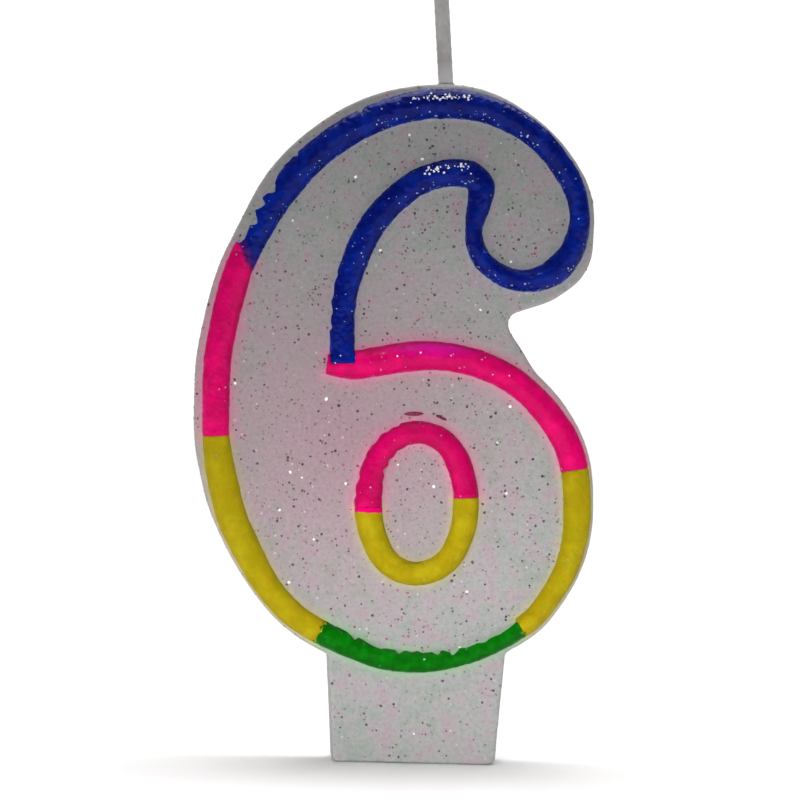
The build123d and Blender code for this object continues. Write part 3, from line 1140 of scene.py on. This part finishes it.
# %% [markdown]
# ## The glitter's film
# A metallised flake mirrors what is in front of it. Most lie flat and mirror the dark room, so they
# look dark, and the few that lean catch the lamp. A full metal would look black here, so each kind
# is part metal and part colour, with a sheen that changes from flake to flake.

# %% Metallised film
FLAKE_TINTS = {             # dark and pale colour, and how metallic it is
    "glitter_dark": (tint(74, 62, 70), tint(122, 108, 116), 0.40),
    "glitter_rose": (tint(150, 84, 110), tint(190, 124, 146), 0.30),
    "glitter_green": (tint(92, 118, 96), tint(158, 182, 156), 0.35),
    "glitter_silver": (tint(214, 214, 218), tint(255, 255, 255), 0.5),
    "glitter_sparkle": (tint(250, 250, 252), tint(255, 255, 255), 0.1),
    # Pale blue-white flakes in the paint: partly glitter, partly painted glints on the blue line's
    # lower side.
    "glitter_on_paint": (tint(70, 120, 176), tint(206, 222, 232), 0.25),
    # White flakes on the crest of the blue line: painted glints that stand in for the lamp's
    # highlight.
    "glitter_crest": (tint(226, 226, 236), tint(255, 255, 255), 0.1),
}
for name, (dark, pale, metal) in FLAKE_TINTS.items():
    material, shader, place = new_material(name, Metallic=metal, Specular_IOR_Level=0.5)
    sheen = noise(place, 0.4 * MM)
    feed(shader, Base_Color=mix(((sheen - 0.35) * 3).held(), dark, pale),
         Roughness=0.16 + sheen * 0.18)
    wear(glitter[name], material)
print("kinds of glitter", len(FLAKE_TINTS))

# %% [markdown]
# ## The wick's cotton
# The wick is cotton soaked in clear wax, so it is a little glossy and lets some light in. The
# fibres run along it: noise that is squeezed in height gives long streaks, in the colour and as
# bump. At the foot the wax lies thick on the cotton and makes it whiter.

# %% Waxed cotton
FOOT_TOP = WICK_MOUTH + 2.8 * MM
FOOT_FADE = 2.4 * MM

cotton, shader, place = new_material(
    "waxed_cotton", Subsurface_Weight=0.4, Subsurface_Scale=0.5 * MM, Specular_IOR_Level=0.35,
    Coat_Weight=0.2, Coat_Roughness=0.25, IOR=1.43)
squeezed = place.add("Mapping", {}, {"Vector": place, "Scale": (1.0, 1.0, 0.22)})
threads = noise(squeezed, 0.13 * MM, 3)
soaked = noise(place, 1.4 * MM, 2)
colour = mix(((soaked - 0.4) * 3).held(), tint(172, 171, 170), tint(190, 189, 188))
colour = mix(((threads - 0.5) * 1.6).held(), colour, tint(150, 148, 146))
height = place.add("SeparateXYZ", {}, {"Vector": place}, "Z")
foot = ((FOOT_TOP - height) / FOOT_FADE).held()
colour = mix(foot * 0.9, colour, tint(232, 232, 233))
relief = place.add("Bump", {}, {"Strength": 0.6, "Distance": 0.04 * MM, "Height": threads})
feed(shader, Base_Color=colour, Normal=relief, Roughness=0.42 + threads * 0.25)
wear(wick, cotton)
print("cotton has", len(cotton.node_tree.nodes), "nodes")

# %% [markdown]
# ## Floor, light and view
# The candle stands on a plain pale floor that runs out far past the view, so that it throws a soft
# shadow on something. The floor's colour hardly changes, only enough that it isn't dead flat.

# %% Floor
bpy.ops.mesh.primitive_plane_add(size=6.0, location=(0, 0, 0))
floor = bpy.context.object
floor.name = "floor"
floor_material, shader, place = new_material("pale_floor", Specular_IOR_Level=0.1)
feed(shader, Base_Color=mix(noise(place, 90 * MM), tint(246, 246, 246), tint(249, 249, 249)),
     Roughness=0.8 + noise(place, 20 * MM) * 0.1)
wear(floor, floor_material)
print("floor", round(floor.dimensions.x, 1), "m wide")

# %% [markdown]
# Three lights do three jobs. A small soft lamp above the front is the window: it models the line
# and makes the small glints in the paint. A weak narrow lamp low in front fills the dark underside
# of the bowl, and is hidden from mirror reflections, or it would draw long streaks on the paint. A
# wide sun from above and behind lights the floor.

# %% Lamps
LOW_AIM = Vector((2 * MM, FRONT, 11 * MM))


def light(kind, name, azimuth, height, distance, power, aim=LOOK_AT):
    """Adds a light round the candle, aimed at a place on it."""
    out = direction(azimuth, height)
    bpy.ops.object.light_add(type=kind, location=LOOK_AT + out * distance)
    made = bpy.context.object
    made.name = name
    made.rotation_euler = (aim - made.location).to_track_quat("-Z", "Y").to_euler()
    made.data.energy = power
    return made


window = light("AREA", "window", -6, 52, 0.60, 0.34)
window.data.size = 0.022
low_lamp = light("AREA", "low_front", -14, 1, 0.40, 0.020, LOW_AIM)
low_lamp.data.size = 0.05
low_lamp.data.spread = math.radians(17)
low_lamp.visible_glossy = False
overhead = light("SUN", "overhead", 170, 72, 1.0, 3.25)
overhead.data.angle = math.radians(60)

# %% [markdown]
# The room itself is dim, or its mirror image would grey the deep blue. Only the camera's own view
# past the floor sees a bright sky, which the Light Path node can tell. The Standard view keeps the
# paints as strong as they are mixed.

# %% Sky and view
ROOM = 0.14
SEEN_SKY = 0.95

sky = bpy.data.worlds.new("studio")
bpy.context.scene.world = sky
sky.use_nodes = True
seen = Value(sky.node_tree.nodes.new("ShaderNodeLightPath").outputs["Is Camera Ray"])
sky_shader = sky.node_tree.nodes["Background"]
sky_shader.inputs["Color"].default_value = (1, 1, 1, 1)
feed(sky_shader, Strength=ROOM + seen * SEEN_SKY)
bpy.context.scene.view_settings.view_transform = "Standard"
print("room strength", ROOM, "and", SEEN_SKY, "more where the camera looks")
